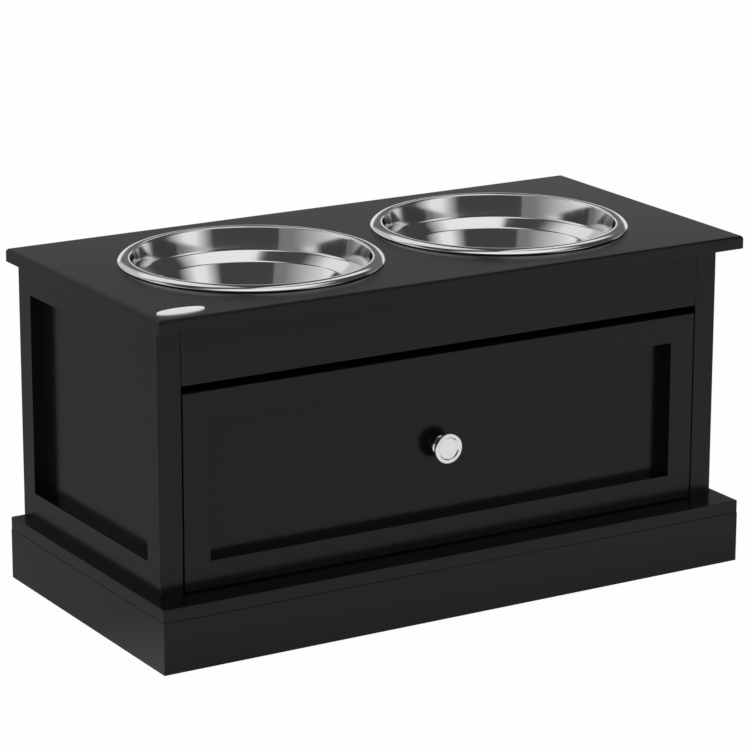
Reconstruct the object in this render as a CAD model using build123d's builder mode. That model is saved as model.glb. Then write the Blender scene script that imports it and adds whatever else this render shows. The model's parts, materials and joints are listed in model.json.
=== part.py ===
from build123d import *

import os
from math import cos, radians, sin

# An elevated dog feeder: a low cabinet with one wide drawer, on a plinth, with two steel bowls hung
# in round cut-outs in its top board. Millimetres, +Z up. The origin is on the floor under the point
# midway between the bowls, and the front faces -Y.

# ---------------------------------------------------------------------------
# Driving dimensions
# ---------------------------------------------------------------------------

# Plan: the bowls' cut-outs and the boards around them set the width and the depth
cutout_radius = 114.0
cutout_gap = 32.0               # board left between the two cut-outs
cutout_side_gap = 22.0          # from a cut-out to the cabinet's inner face
cutout_front_gap = 8.0          # from a cut-out to the line of the cabinet's front
cutout_back_gap = 32.5          # from a cut-out to the line of the cabinet's back
ledge_side = 12.0               # base board beyond the cabinet
ledge_front = 27.5
ledge_back = 3.0

# Base: a hollow plinth of four boards under one base board
plinth_height = 46.5
plinth_board = 12.0
base_board_thickness = 12.0
base_edge_round = 1.0
corner_block = 20.0             # square section of the blocks inside the plinth's corners
corner_block_height = 40.0

# Cabinet: two framed sides, an apron over the drawer and a back panel
cabinet_height = 240.0
frame_thickness = 22.0          # side frames, also the width of the posts seen from the front
stile_width = 23.5
rail_height = 27.2
side_recess = 12.0              # side panels' faces behind their frames' faces
side_panel_lap = 7.0            # how far a side panel runs behind its frame
frame_edge_round = 1.0
apron_height = 55.3
apron_thickness = 12.0
back_thickness = 9.0
cleat = 18.0                    # square section of the cleats under the top board
cleat_gap = 5.0                 # between a side cleat's ends and the pieces before and behind it
back_cleat_gap = 86.0           # between the back cleat's ends and the cabinet's inner faces

# Top board
top_overhang_side = 11.0        # beyond the cabinet
top_overhang_front = 26.75
top_overhang_back = 2.25
top_thickness = 12.0
top_edge_round = 3.0
top_corner_round = 1.5          # the board's upright corners
top_under_round = 0.6

# Bowls: pressed sheet whose wall turns over into a domed rim, and the rim's edge rests on the board
rim_overlap = 4.6               # rim's outer edge beyond the cut-out
rim_curve = 9.4                 # radius of the dome across the rim
rim_edge_angle = 33.4           # dome's outer end, measured up from level at its centre
rim_sweep = 80.0                # angle that the dome covers
rim_bend = 2.5                  # outside radius where the wall turns into the rim
bowl_sheet = 1.0
shoulder_inset = 10.0           # lower end of the upper wall, inside the cut-out's edge
shoulder_depth = 16.5           # below the top board's surface
step_inset = 21.0               # upper end of the lower wall
step_depth = 25.0
floor_inset = 30.0              # where the lower wall would meet the floor
bowl_depth = 50.0
bowl_bend = 4.0                 # inside radius of the shoulder's bends
floor_bend = 9.0

# Drawer front: a frame with a set-back panel
drawer_gap_below = 1.0
drawer_gap_above = 6.8
drawer_gap_side = 1.2
front_thickness = 20.0
front_border = 25.0
front_recess = 14.0
front_panel_lap = 7.0
front_edge_round = 0.8          # along the front's outline

# Drawer box
box_board = 12.0
box_side_gap = 2.0              # between the box and the cabinet's inner faces
box_gap_below = 5.5             # between the box and the base board
box_gap_above = 14.4            # box's upper edge below the upper edge of the drawer's front
box_back_gap = 4.5              # between the box and the back panel
bottom_thickness = 6.0
bottom_height = 6.0             # bottom's underside above the box's lower edge
bottom_tongue = 5.5             # how far the bottom runs into its grooves

# Runners: strips on the cabinet's sides that fill grooves in the drawer's sides
runner_width = 8.5
runner_height = 12.0
runner_back_gap = 6.0           # between a runner's end and the back panel
groove_floor_gap = 0.5
groove_gap_below = 0.7
groove_stop = 8.0               # solid length of the drawer's side in front of its groove

# Knob and badge
knob_projection = 15.5          # from the set-back panel to the knob's front
knob_flange_radius = 8.8
knob_flange_edge = 1.6          # flange's thickness at its edge
knob_neck_radius = 5.0
knob_radius = 14.0
knob_head_edge = 3.0            # head's thickness at its edge
knob_edge_round = 1.2
knob_dish_radius = 10.4
knob_dish = 0.9                 # depth of the shallow dish in the knob's front
badge_length = 44.5
badge_width = 16.5
badge_thickness = 1.5
badge_from_left = 30.3          # badge's centre from the top board's left and front edges
badge_from_front = 20.5

# Fasteners
dowel_radius = 3.0
dowel_length = 30.0
short_dowel_length = 24.0
dowel_spacing = 12.0
screw_radius = 1.75
screw_head_radius = 3.5
screw_head_lip = 0.4            # straight edge of a countersunk head
screw_slot = 0.9                # width and depth of the cross in a screw's head
screw_slot_depth = 1.2
screw_bite = 0.65               # share of a thin board that a screw's tip enters
frame_screw_bite = 18.0         # how far screws enter the side frames and the drawer's boards

# Clearances
running_gap = 0.3               # between pieces that move on each other
panel_fit = 0.2                 # around a panel in its frame
fastener_fit = 0.1              # around screws and dowels, on the radius
seam = 0.1                      # at each end of the apron, between the posts

# ---------------------------------------------------------------------------
# Levels and limits that follow from them
# ---------------------------------------------------------------------------

LEFT, RIGHT = -1, 1
FRONT, BACK = -1, 1
SIDES = {"left": LEFT, "right": RIGHT}

base_top = plinth_height + base_board_thickness
cabinet_top = base_top + cabinet_height
top_surface = cabinet_top + top_thickness

bowl_x = cutout_radius + cutout_gap / 2
inner_half = bowl_x + cutout_radius + cutout_side_gap
outer_half = inner_half + frame_thickness
half_base = outer_half + ledge_side
cabinet_front = -cutout_radius - cutout_front_gap
cabinet_back = cutout_radius + cutout_back_gap
base_front = cabinet_front - ledge_front
base_back = cabinet_back + ledge_back
front_stile_back = cabinet_front + stile_width
back_stile_front = cabinet_back - stile_width
lower_rail_top = base_top + rail_height
upper_rail_bottom = cabinet_top - rail_height
apron_bottom = cabinet_top - apron_height
back_panel_front = cabinet_back - back_thickness

# The side panels and the back panel both reach out to the line of the side panels' outer faces, so
# the dowels in the frames' outer part stay clear of them
side_panel_thickness = frame_thickness - side_recess
back_lap = side_panel_thickness

# The pocket that holds a side panel, cut into the inner part of its frame
pocket_y = (front_stile_back - side_panel_lap, back_stile_front + side_panel_lap)
pocket_z = (lower_rail_top - side_panel_lap, upper_rail_bottom + side_panel_lap)

# Drawer front
front_half = inner_half - drawer_gap_side
front_z = (base_top + drawer_gap_below, apron_bottom - drawer_gap_above)
front_back = cabinet_front + front_thickness
opening_half = front_half - front_border
opening_z = (front_z[0] + front_border, front_z[1] - front_border)
panel_face = cabinet_front + front_recess
knob_z = sum(opening_z) / 2
front_pocket_x = opening_half + front_panel_lap
front_pocket_z = (opening_z[0] - front_panel_lap, opening_z[1] + front_panel_lap)

# Drawer box
box_half = inner_half - box_side_gap
box_inner_half = box_half - box_board
box_z = (base_top + box_gap_below, front_z[1] - box_gap_above)
box_back = back_panel_front - box_back_gap
box_front_y = (front_back, front_back + box_board)
box_back_y = (box_back - box_board, box_back)
bottom_z = (box_z[0] + bottom_height, box_z[0] + bottom_height + bottom_thickness)
bottom_groove = bottom_tongue + panel_fit

# Runners and their grooves
runner_x = (inner_half - runner_width, inner_half)
runner_middle = sum(box_z) / 2
runner_z = (runner_middle - runner_height / 2, runner_middle + runner_height / 2)
groove_front = front_back + groove_stop
runner_y = (groove_front + running_gap, back_panel_front - runner_back_gap)
groove_z = (runner_z[0] - groove_gap_below, runner_z[1] + running_gap)

# Top board, and the cleats under it
top_half = outer_half + top_overhang_side
top_front = cabinet_front - top_overhang_front
top_back = cabinet_back + top_overhang_back
cleat_z = (cabinet_top - cleat, cabinet_top)
side_cleat_y = (
    cabinet_front + apron_thickness + cleat_gap,
    back_panel_front - cleat - cleat_gap,
)
back_cleat_x = (back_cleat_gap - inner_half, inner_half - back_cleat_gap)

# ---------------------------------------------------------------------------
# Helpers
# ---------------------------------------------------------------------------

# Turns that point a piece made along +Z along another axis
TURNS = {
    "+X": (0, 90, 0), "-X": (0, -90, 0),
    "+Y": (-90, 0, 0), "-Y": (90, 0, 0),
    "+Z": (0, 0, 0), "-Z": (180, 0, 0),
}


def on_side(side, span):
    """Limits in X of a span given for the right side, for either side."""
    return span if side == RIGHT else (-span[1], -span[0])


def block(x, y, z, mode=Mode.ADD):
    """Add or cut a block, given its lower and upper limit along each axis."""
    centre = tuple(sum(span) / 2 for span in (x, y, z))
    with Locations(centre):
        Box(x[1] - x[0], y[1] - y[0], z[1] - z[0], mode=mode)


def along(span, share):
    """The point at a share of the way along a span."""
    return span[0] + (span[1] - span[0]) * share


def places(points, direction):
    """Places for fasteners at the points, driven along the direction."""
    return [Location(point, TURNS[direction]) for point in points]


def inward(side):
    """Direction from a side of the cabinet to its middle."""
    return "-X" if side == RIGHT else "+X"


def outward(side):
    """Direction from the cabinet's middle to one of its sides."""
    return "+X" if side == RIGHT else "-X"


def make_screw(length, fit=0.0):
    """A countersunk screw driven along +Z from its face at the origin, or its hole with a fit."""
    radius, head = screw_radius + fit, screw_head_radius + fit
    with BuildPart() as screw:
        with BuildSketch(Plane.XZ):
            with BuildLine():
                Polyline(
                    (0, -fit),
                    (head, -fit),
                    (head, screw_head_lip),
                    (radius, screw_head_lip + head - radius),
                    (radius, length - 2 * radius),
                    (0, length + fit),
                    close=True,
                )
            make_face()
        revolve(axis=Axis.Z)
        if not fit:
            with BuildSketch():
                Rectangle(screw_head_radius, screw_slot)
                Rectangle(screw_slot, screw_head_radius)
            extrude(amount=screw_slot_depth, mode=Mode.SUBTRACT)
    return screw.part


def make_dowel(length, fit=0.0):
    """A dowel along Z about the origin, or its hole with a fit."""
    with BuildPart() as dowel:
        Cylinder(dowel_radius + fit, length + 2 * fit)
        if not fit:
            chamfer(dowel.edges().filter_by(GeomType.CIRCLE), dowel_radius / 5)
    return dowel.part


def drill(fastener, length, at):
    """Cut the holes for fasteners of one length at their places out of the piece being made."""
    with Locations(*at):
        add(fastener(length, fastener_fit), mode=Mode.SUBTRACT)


def save(piece, name):
    """Name a finished piece and write it to its file."""
    piece.part.label = name
    export_step(piece.part, f"parts/{name}.step")


def save_fasteners(fastener, length, at, name):
    """Write a group of like fasteners at their places."""
    with BuildPart() as group:
        with Locations(*at):
            add(fastener(length))
    save(group, name)


os.makedirs("parts", exist_ok=True)

# ---------------------------------------------------------------------------
# Where the fasteners go
# ---------------------------------------------------------------------------

# Dowels between the rails and stiles of the side frames, in the frame's outer part
frame_dowel_x = outer_half - side_recess / 2
rail_middles = (base_top + rail_height / 2, cabinet_top - rail_height / 2)


def frame_dowels(side):
    """Dowel places in one side frame."""
    return places(
        [
            (side * frame_dowel_x, y, z + shift)
            for y in (front_stile_back, back_stile_front)
            for z in rail_middles
            for shift in (-dowel_spacing / 2, dowel_spacing / 2)
        ],
        "+Y",
    )


# Dowels between the apron and the posts
apron_dowels = places(
    [
        (side * inner_half, cabinet_front + apron_thickness / 2, apron_bottom + height)
        for side in (LEFT, RIGHT)
        for height in (dowel_spacing, 2 * dowel_spacing)
    ],
    "+X",
)

# Dowels between the rails and stiles of the drawer's front
front_rail_middles = (front_z[0] + front_border / 2, front_z[1] - front_border / 2)
front_dowels = places(
    [
        (side * opening_half, cabinet_front + front_recess / 2, z + shift)
        for side in (LEFT, RIGHT)
        for z in front_rail_middles
        for shift in (-dowel_spacing / 2, dowel_spacing / 2)
    ],
    "+X",
)

# Screws up through the base board into the side frames' bottom rails
frame_screw_length = base_board_thickness + frame_screw_bite
frame_screw_x = inner_half + frame_thickness / 2
frame_screws = places(
    [
        (side * frame_screw_x, along((front_stile_back, back_stile_front), share), plinth_height)
        for side in (LEFT, RIGHT)
        for share in (0.14, 0.5, 0.86)
    ],
    "+Z",
)

# Screws that hold the corner blocks to the plinth's boards and to the base board
block_x = half_base - plinth_board - corner_block / 2
block_y = {
    FRONT: base_front + plinth_board + corner_block / 2,
    BACK: base_back - plinth_board - corner_block / 2,
}
block_z = (plinth_height - corner_block_height, plinth_height)
block_corners = [(side, end) for side in (LEFT, RIGHT) for end in (FRONT, BACK)]
plinth_screw_length = corner_block + screw_bite * plinth_board
block_screw_shift = corner_block / 4
block_screw_rise = corner_block_height / 4
side_board_screws = [
    place
    for side, end in block_corners
    for place in places(
        [(
            side * (block_x - corner_block / 2),
            block_y[end] - end * block_screw_shift,
            block_z[0] + block_screw_rise,
        )],
        outward(side),
    )
]
end_board_screws = [
    place
    for side, end in block_corners
    for place in places(
        [(
            side * (block_x - block_screw_shift),
            block_y[end] - end * corner_block / 2,
            block_z[1] - block_screw_rise,
        )],
        "+Y" if end == BACK else "-Y",
    )
]
base_board_screw_length = corner_block_height + screw_bite * base_board_thickness
base_board_screws = places(
    [(side * block_x, block_y[end], block_z[0]) for side, end in block_corners], "+Z"
)

# Screws up through the cleats into the top board, and out through them into the cabinet
top_screw_length = cleat + screw_bite * top_thickness
side_cleat_middle = inner_half - cleat / 2
back_cleat_middle = back_panel_front - cleat / 2
top_screws = places(
    [
        (side * side_cleat_middle, along(side_cleat_y, share), cleat_z[0])
        for side in (LEFT, RIGHT)
        for share in (0.14, 0.5, 0.86)
    ]
    + [(along(back_cleat_x, share), back_cleat_middle, cleat_z[0]) for share in (0.08, 0.5, 0.92)],
    "+Z",
)
side_cleat_screw_length = cleat + frame_thickness / 2
side_cleat_screws = [
    place
    for side in (LEFT, RIGHT)
    for place in places(
        [
            (side * (inner_half - cleat), along(side_cleat_y, share), sum(cleat_z) / 2)
            for share in (0.32, 0.68)
        ],
        outward(side),
    )
]
back_cleat_screw_length = cleat + screw_bite * back_thickness
back_cleat_screws = places(
    [
        (along(back_cleat_x, share), back_panel_front - cleat, sum(cleat_z) / 2)
        for share in (0.3, 0.7)
    ],
    "+Y",
)

# Screws through the back panel's edges into the back stiles
back_screw_length = back_thickness + screw_bite * (back_panel_front - pocket_y[1])
back_screws = places(
    [
        (side * (inner_half + back_lap / 2), cabinet_back, along((base_top, cabinet_top), share))
        for side in (LEFT, RIGHT)
        for share in (0.08, 0.36, 0.64, 0.92)
    ],
    "-Y",
)

# Screws through the runners into the side panels
runner_screw_length = runner_width + screw_bite * side_panel_thickness


def runner_screws(side):
    """Screw places in one runner."""
    return places(
        [
            (side * runner_x[0], along(runner_y, share), runner_middle)
            for share in (0.08, 0.5, 0.92)
        ],
        outward(side),
    )


# Screws through the drawer's sides into its front and back boards
box_screw_length = box_board + frame_screw_bite
box_screws = {
    name: places(
        [
            (side * box_half, y, along(box_z, share))
            for y in (sum(box_front_y) / 2, sum(box_back_y) / 2)
            for share in (0.2, 0.8)
        ],
        inward(side),
    )
    for name, side in SIDES.items()
}

# Screws from inside the drawer box through the set-back panel's edge into the drawer's front
front_screw_length = box_board + front_thickness - front_recess + screw_bite * front_recess
front_screws = places(
    [
        (side * (opening_half + front_panel_lap / 2), box_front_y[1], along(box_z, share))
        for side in (LEFT, RIGHT)
        for share in (0.25, 0.75)
    ],
    "-Y",
)
knob_screw_length = box_front_y[1] - panel_face + knob_projection / 2
knob_screw = places([(0, box_front_y[1], knob_z)], "-Y")

# ---------------------------------------------------------------------------
# Plinth and base board
# ---------------------------------------------------------------------------

full_width = (-half_base, half_base)
plinth_z = (0, plinth_height)

for name, y in {
    "plinth_front": (base_front, base_front + plinth_board),
    "plinth_back": (base_back - plinth_board, base_back),
}.items():
    with BuildPart() as plinth_end:
        block(full_width, y, plinth_z)
        drill(make_screw, plinth_screw_length, end_board_screws)
    save(plinth_end, name)

for name, side in SIDES.items():
    with BuildPart() as plinth_side:
        block(
            on_side(side, (half_base - plinth_board, half_base)),
            (base_front + plinth_board, base_back - plinth_board),
            plinth_z,
        )
        drill(make_screw, plinth_screw_length, side_board_screws)
    save(plinth_side, f"plinth_{name}")

with BuildPart() as corner_blocks:
    for side, end in block_corners:
        with Locations((side * block_x, block_y[end], sum(block_z) / 2)):
            Box(corner_block, corner_block, corner_block_height)
    drill(make_screw, plinth_screw_length, side_board_screws + end_board_screws)
    drill(make_screw, base_board_screw_length, base_board_screws)
save(corner_blocks, "plinth_corner_blocks")
save_fasteners(
    make_screw, plinth_screw_length, side_board_screws + end_board_screws, "plinth_screws"
)

with BuildPart() as base_board:
    block(full_width, (base_front, base_back), (plinth_height, base_top))
    fillet(base_board.edges(), base_edge_round)
    drill(make_screw, frame_screw_length, frame_screws)
    drill(make_screw, base_board_screw_length, base_board_screws)
save(base_board, "base_board")
save_fasteners(make_screw, base_board_screw_length, base_board_screws, "base_board_screws")
save_fasteners(make_screw, frame_screw_length, frame_screws, "side_frame_screws")

# ---------------------------------------------------------------------------
# Side frames
# ---------------------------------------------------------------------------

frame_x = (inner_half, outer_half)
pocket_x = (inner_half, outer_half - side_recess)
back_rabbet_x = (inner_half, inner_half + back_lap)

for name, side in SIDES.items():
    x = on_side(side, frame_x)
    pocket = (on_side(side, pocket_x), pocket_y, pocket_z)

    with BuildPart() as front_stile:
        block(x, (cabinet_front, front_stile_back), (base_top, cabinet_top))
        front_edges = front_stile.edges().filter_by(Axis.Z).group_by(Axis.Y)[0]
        fillet(front_edges, frame_edge_round)
        block(*pocket, mode=Mode.SUBTRACT)
        drill(make_dowel, dowel_length, frame_dowels(side))
        drill(make_dowel, short_dowel_length, apron_dowels)
    save(front_stile, f"{name}_front_stile")

    with BuildPart() as back_stile:
        block(x, (back_stile_front, cabinet_back), (base_top, cabinet_top))
        outer_edge = back_stile.edges().filter_by(Axis.Z).group_by(Axis.Y)[-1].sort_by(Axis.X)
        fillet(outer_edge[-1] if side == RIGHT else outer_edge[0], frame_edge_round)
        block(*pocket, mode=Mode.SUBTRACT)
        block(
            on_side(side, back_rabbet_x),
            (back_panel_front, cabinet_back),
            (base_top, cabinet_top),
            mode=Mode.SUBTRACT,
        )
        drill(make_dowel, dowel_length, frame_dowels(side))
        drill(make_screw, back_screw_length, back_screws)
    save(back_stile, f"{name}_back_stile")

    with BuildPart() as bottom_rail:
        block(x, (front_stile_back, back_stile_front), (base_top, lower_rail_top))
        block(*pocket, mode=Mode.SUBTRACT)
        drill(make_dowel, dowel_length, frame_dowels(side))
        drill(make_screw, frame_screw_length, frame_screws)
    save(bottom_rail, f"{name}_bottom_rail")

    with BuildPart() as top_rail:
        block(x, (front_stile_back, back_stile_front), (upper_rail_bottom, cabinet_top))
        block(*pocket, mode=Mode.SUBTRACT)
        drill(make_dowel, dowel_length, frame_dowels(side))
        drill(make_screw, side_cleat_screw_length, side_cleat_screws)
    save(top_rail, f"{name}_top_rail")

    with BuildPart() as side_panel:
        block(
            on_side(side, pocket_x),
            (pocket_y[0] + panel_fit, pocket_y[1] - panel_fit),
            (pocket_z[0] + panel_fit, pocket_z[1] - panel_fit),
        )
        drill(make_screw, runner_screw_length, runner_screws(side))
    save(side_panel, f"{name}_side_panel")
    save_fasteners(make_dowel, dowel_length, frame_dowels(side), f"{name}_frame_dowels")

# ---------------------------------------------------------------------------
# Apron, back panel and cleats
# ---------------------------------------------------------------------------

with BuildPart() as apron:
    block(
        (seam - inner_half, inner_half - seam),
        (cabinet_front, cabinet_front + apron_thickness),
        (apron_bottom, cabinet_top),
    )
    fillet(apron.edges().filter_by(Axis.X).group_by(Axis.Z)[0], frame_edge_round)
    drill(make_dowel, short_dowel_length, apron_dowels)
save(apron, "front_apron")
save_fasteners(make_dowel, short_dowel_length, apron_dowels, "apron_dowels")

back_half = inner_half + back_lap - panel_fit
with BuildPart() as back_panel:
    block((-back_half, back_half), (back_panel_front, cabinet_back), (base_top, cabinet_top))
    drill(make_screw, back_screw_length, back_screws)
    drill(make_screw, back_cleat_screw_length, back_cleat_screws)
save(back_panel, "back_panel")
save_fasteners(make_screw, back_screw_length, back_screws, "back_panel_screws")

for name, side in SIDES.items():
    with BuildPart() as side_cleat:
        block(on_side(side, (inner_half - cleat, inner_half)), side_cleat_y, cleat_z)
        drill(make_screw, top_screw_length, top_screws)
        drill(make_screw, side_cleat_screw_length, side_cleat_screws)
    save(side_cleat, f"{name}_top_cleat")

with BuildPart() as back_cleat:
    block(back_cleat_x, (back_panel_front - cleat, back_panel_front), cleat_z)
    drill(make_screw, top_screw_length, top_screws)
    drill(make_screw, back_cleat_screw_length, back_cleat_screws)
save(back_cleat, "back_top_cleat")
save_fasteners(make_screw, top_screw_length, top_screws, "top_board_screws")
save_fasteners(make_screw, side_cleat_screw_length, side_cleat_screws, "side_cleat_screws")
save_fasteners(make_screw, back_cleat_screw_length, back_cleat_screws, "back_cleat_screws")

# ---------------------------------------------------------------------------
# Top board and badge
# ---------------------------------------------------------------------------

bowl_centres = {name: side * bowl_x for name, side in SIDES.items()}

with BuildPart() as top_board:
    block((-top_half, top_half), (top_front, top_back), (cabinet_top, top_surface))
    fillet(top_board.edges().filter_by(Axis.Z), top_corner_round)
    fillet(top_board.faces().sort_by(Axis.Z)[-1].edges(), top_edge_round)
    fillet(top_board.faces().sort_by(Axis.Z)[0].edges(), top_under_round)
    with Locations(*[(x, 0, top_surface) for x in bowl_centres.values()]):
        Hole(radius=cutout_radius)
    drill(make_screw, top_screw_length, top_screws)
save(top_board, "top_board")

with BuildPart() as badge:
    with BuildSketch(Plane.XY.offset(top_surface)):
        with Locations((badge_from_left - top_half, top_front + badge_from_front)):
            Ellipse(badge_length / 2, badge_width / 2)
    extrude(amount=badge_thickness)
    chamfer(badge.faces().sort_by(Axis.Z)[-1].edges(), badge_thickness / 4)
save(badge, "badge_plate")

# ---------------------------------------------------------------------------
# Runners
# ---------------------------------------------------------------------------

for name, side in SIDES.items():
    with BuildPart() as runner:
        block(on_side(side, runner_x), runner_y, runner_z)
        drill(make_screw, runner_screw_length, runner_screws(side))
    save(runner, f"{name}_runner")
save_fasteners(
    make_screw, runner_screw_length, runner_screws(LEFT) + runner_screws(RIGHT), "runner_screws"
)

# ---------------------------------------------------------------------------
# Drawer front
# ---------------------------------------------------------------------------

front_y = (cabinet_front, front_back)
front_pocket = ((-front_pocket_x, front_pocket_x), (panel_face, front_back), front_pocket_z)

for name, side in SIDES.items():
    with BuildPart() as drawer_stile:
        block(on_side(side, (opening_half, front_half)), front_y, front_z)
        outline = drawer_stile.faces().sort_by(Axis.Y)[0].edges().sort_by(Axis.X)
        fillet(outline[1:] if side == RIGHT else outline[:-1], front_edge_round)
        block(*front_pocket, mode=Mode.SUBTRACT)
        drill(make_dowel, dowel_length, front_dowels)
        drill(make_screw, front_screw_length, front_screws)
    save(drawer_stile, f"drawer_front_{name}_stile")

for name, z in {
    "bottom": (front_z[0], opening_z[0]),
    "top": (opening_z[1], front_z[1]),
}.items():
    with BuildPart() as drawer_rail:
        block((-opening_half, opening_half), front_y, z)
        outline = drawer_rail.faces().sort_by(Axis.Y)[0].edges().sort_by(Axis.Z)
        fillet(outline[-1] if name == "top" else outline[0], front_edge_round)
        block(*front_pocket, mode=Mode.SUBTRACT)
        drill(make_dowel, dowel_length, front_dowels)
    save(drawer_rail, f"drawer_front_{name}_rail")

with BuildPart() as drawer_panel:
    block(
        (panel_fit - front_pocket_x, front_pocket_x - panel_fit),
        (panel_face, front_back),
        (front_pocket_z[0] + panel_fit, front_pocket_z[1] - panel_fit),
    )
    drill(make_screw, front_screw_length, front_screws)
    drill(make_screw, knob_screw_length, knob_screw)
save(drawer_panel, "drawer_front_panel")
save_fasteners(make_dowel, dowel_length, front_dowels, "drawer_front_dowels")

# ---------------------------------------------------------------------------
# Drawer box
# ---------------------------------------------------------------------------

bottom_channel = (
    (-box_inner_half - bottom_groove, box_inner_half + bottom_groove),
    (box_front_y[1] - bottom_groove, box_back_y[0] + bottom_groove),
    (bottom_z[0] - panel_fit / 2, bottom_z[1] + panel_fit / 2),
)

for name, side in SIDES.items():
    with BuildPart() as drawer_side:
        block(on_side(side, (box_inner_half, box_half)), (front_back, box_back), box_z)
        block(*bottom_channel, mode=Mode.SUBTRACT)
        block(
            on_side(side, (runner_x[0] - groove_floor_gap, box_half)),
            (groove_front, box_back),
            groove_z,
            mode=Mode.SUBTRACT,
        )
        drill(make_screw, box_screw_length, box_screws[name])
    save(drawer_side, f"drawer_{name}_side")

for name, y in {"box_front": box_front_y, "back": box_back_y}.items():
    with BuildPart() as drawer_end:
        block((-box_inner_half, box_inner_half), y, box_z)
        block(*bottom_channel, mode=Mode.SUBTRACT)
        drill(make_screw, box_screw_length, box_screws["left"] + box_screws["right"])
        if name == "box_front":
            drill(make_screw, front_screw_length, front_screws)
            drill(make_screw, knob_screw_length, knob_screw)
    save(drawer_end, f"drawer_{name}")

with BuildPart() as drawer_bottom:
    block(
        (-box_inner_half - bottom_tongue, box_inner_half + bottom_tongue),
        (box_front_y[1] - bottom_tongue, box_back_y[0] + bottom_tongue),
        bottom_z,
    )
save(drawer_bottom, "drawer_bottom")
save_fasteners(
    make_screw, box_screw_length, box_screws["left"] + box_screws["right"], "drawer_box_screws"
)
save_fasteners(make_screw, front_screw_length, front_screws, "drawer_front_screws")

# ---------------------------------------------------------------------------
# Knob: a flange on the set-back panel, a waisted neck and a dished head
# ---------------------------------------------------------------------------

def knob_point(height, radius):
    """A point of the knob's half section, by its height over the set-back panel and its radius."""
    return (panel_face - height, knob_z + radius)


with BuildPart() as knob:
    with BuildSketch(Plane.YZ) as section:
        with BuildLine():
            head_back = knob_projection - knob_head_edge
            Polyline(
                knob_point(0, 0),
                knob_point(0, knob_flange_radius),
                knob_point(knob_flange_edge, knob_flange_radius),
            )
            ThreePointArc(
                knob_point(knob_flange_edge, knob_flange_radius),
                knob_point((knob_flange_edge + head_back) / 2, knob_neck_radius),
                knob_point(head_back, knob_radius),
            )
            Polyline(
                knob_point(head_back, knob_radius),
                knob_point(knob_projection, knob_radius),
                knob_point(knob_projection, knob_dish_radius),
                knob_point(knob_projection - knob_dish, knob_dish_radius - knob_dish),
                knob_point(knob_projection - knob_dish, 0),
                knob_point(0, 0),
            )
        make_face()
        fillet(section.vertices().group_by(Axis.Y)[-1], knob_edge_round)
    revolve(axis=Axis((0, 0, knob_z), (0, 1, 0)))
    drill(make_screw, knob_screw_length, knob_screw)
save(knob, "drawer_knob")
save_fasteners(make_screw, knob_screw_length, knob_screw, "knob_screw")

# ---------------------------------------------------------------------------
# Bowls
# ---------------------------------------------------------------------------

shoulder_radius = cutout_radius - shoulder_inset
step_radius = cutout_radius - step_inset
floor_radius = cutout_radius - floor_inset
rim_edge_slope = radians(rim_edge_angle)
rim_centre_radius = cutout_radius + rim_overlap - rim_curve * cos(rim_edge_slope)
rim_centre_z = top_surface + running_gap - (rim_curve - bowl_sheet) * sin(rim_edge_slope)

for name, centre_x in bowl_centres.items():
    with BuildPart() as bowl:
        with BuildSketch(Plane.XZ):
            with BuildLine() as profile:
                rim = CenterArc(
                    (centre_x + rim_centre_radius, rim_centre_z),
                    rim_curve,
                    rim_edge_angle + rim_sweep,
                    -rim_sweep,
                )
                # Inner face, from the middle of the floor up to the rim
                FilletPolyline(
                    (centre_x, top_surface - bowl_depth),
                    (centre_x + floor_radius, top_surface - bowl_depth),
                    (centre_x + step_radius, top_surface - step_depth),
                    (centre_x + shoulder_radius, top_surface - shoulder_depth),
                    rim @ 0,
                    radius=[floor_bend, bowl_bend, bowl_bend],
                )
                fillet(profile.vertices().sort_by_distance(rim @ 0)[0], rim_bend)
                offset(amount=bowl_sheet, side=Side.RIGHT)
            make_face()
        revolve(axis=Axis((centre_x, 0, 0), (0, 0, 1)))
    save(bowl, f"{name}_bowl")
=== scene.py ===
import json
import logging
import math
from collections.abc import Iterable, Sequence
from dataclasses import dataclass, field
from enum import Enum

import bpy
from mathutils import Matrix, Vector


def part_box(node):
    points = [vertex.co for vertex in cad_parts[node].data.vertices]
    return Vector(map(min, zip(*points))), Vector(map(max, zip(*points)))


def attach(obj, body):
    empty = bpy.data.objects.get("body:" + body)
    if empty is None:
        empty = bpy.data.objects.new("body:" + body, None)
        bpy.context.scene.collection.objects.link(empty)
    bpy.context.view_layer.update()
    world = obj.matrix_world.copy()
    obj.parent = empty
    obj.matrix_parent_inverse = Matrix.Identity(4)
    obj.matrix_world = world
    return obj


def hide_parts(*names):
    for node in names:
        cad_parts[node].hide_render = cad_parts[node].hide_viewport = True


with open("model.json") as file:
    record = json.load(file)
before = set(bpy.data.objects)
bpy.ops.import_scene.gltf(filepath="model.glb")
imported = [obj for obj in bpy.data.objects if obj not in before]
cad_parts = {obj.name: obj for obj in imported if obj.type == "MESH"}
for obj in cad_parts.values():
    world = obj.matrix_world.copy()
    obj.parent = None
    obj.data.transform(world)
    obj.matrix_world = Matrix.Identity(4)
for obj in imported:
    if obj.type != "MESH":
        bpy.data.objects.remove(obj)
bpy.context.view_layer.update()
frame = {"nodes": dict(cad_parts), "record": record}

MM = 0.001
WELD = 0.002 * MM
SMOOTH_ANGLE = 35.0
TOP_SURFACE = 310.5 * MM
BOWL_PLACE = 130.0 * MM
WHITE = (1.0, 1.0, 1.0, 1.0)
NODE_SPACING = 190.0
# Sockets of a mix node that hold colours
MIX_FIRST, MIX_SECOND, MIX_RESULT = 6, 7, 2
# Where a noise texture's values mostly lie, and the sum of two such values
NOISE_SPAN = (0.3, 0.7)
NOISE_SUM_SPAN = (0.7, 1.3)
LOG = logging.getLogger("dog_feeder")


# ---------------------------------------------------------------------------
# Bodies and axes
# ---------------------------------------------------------------------------


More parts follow.
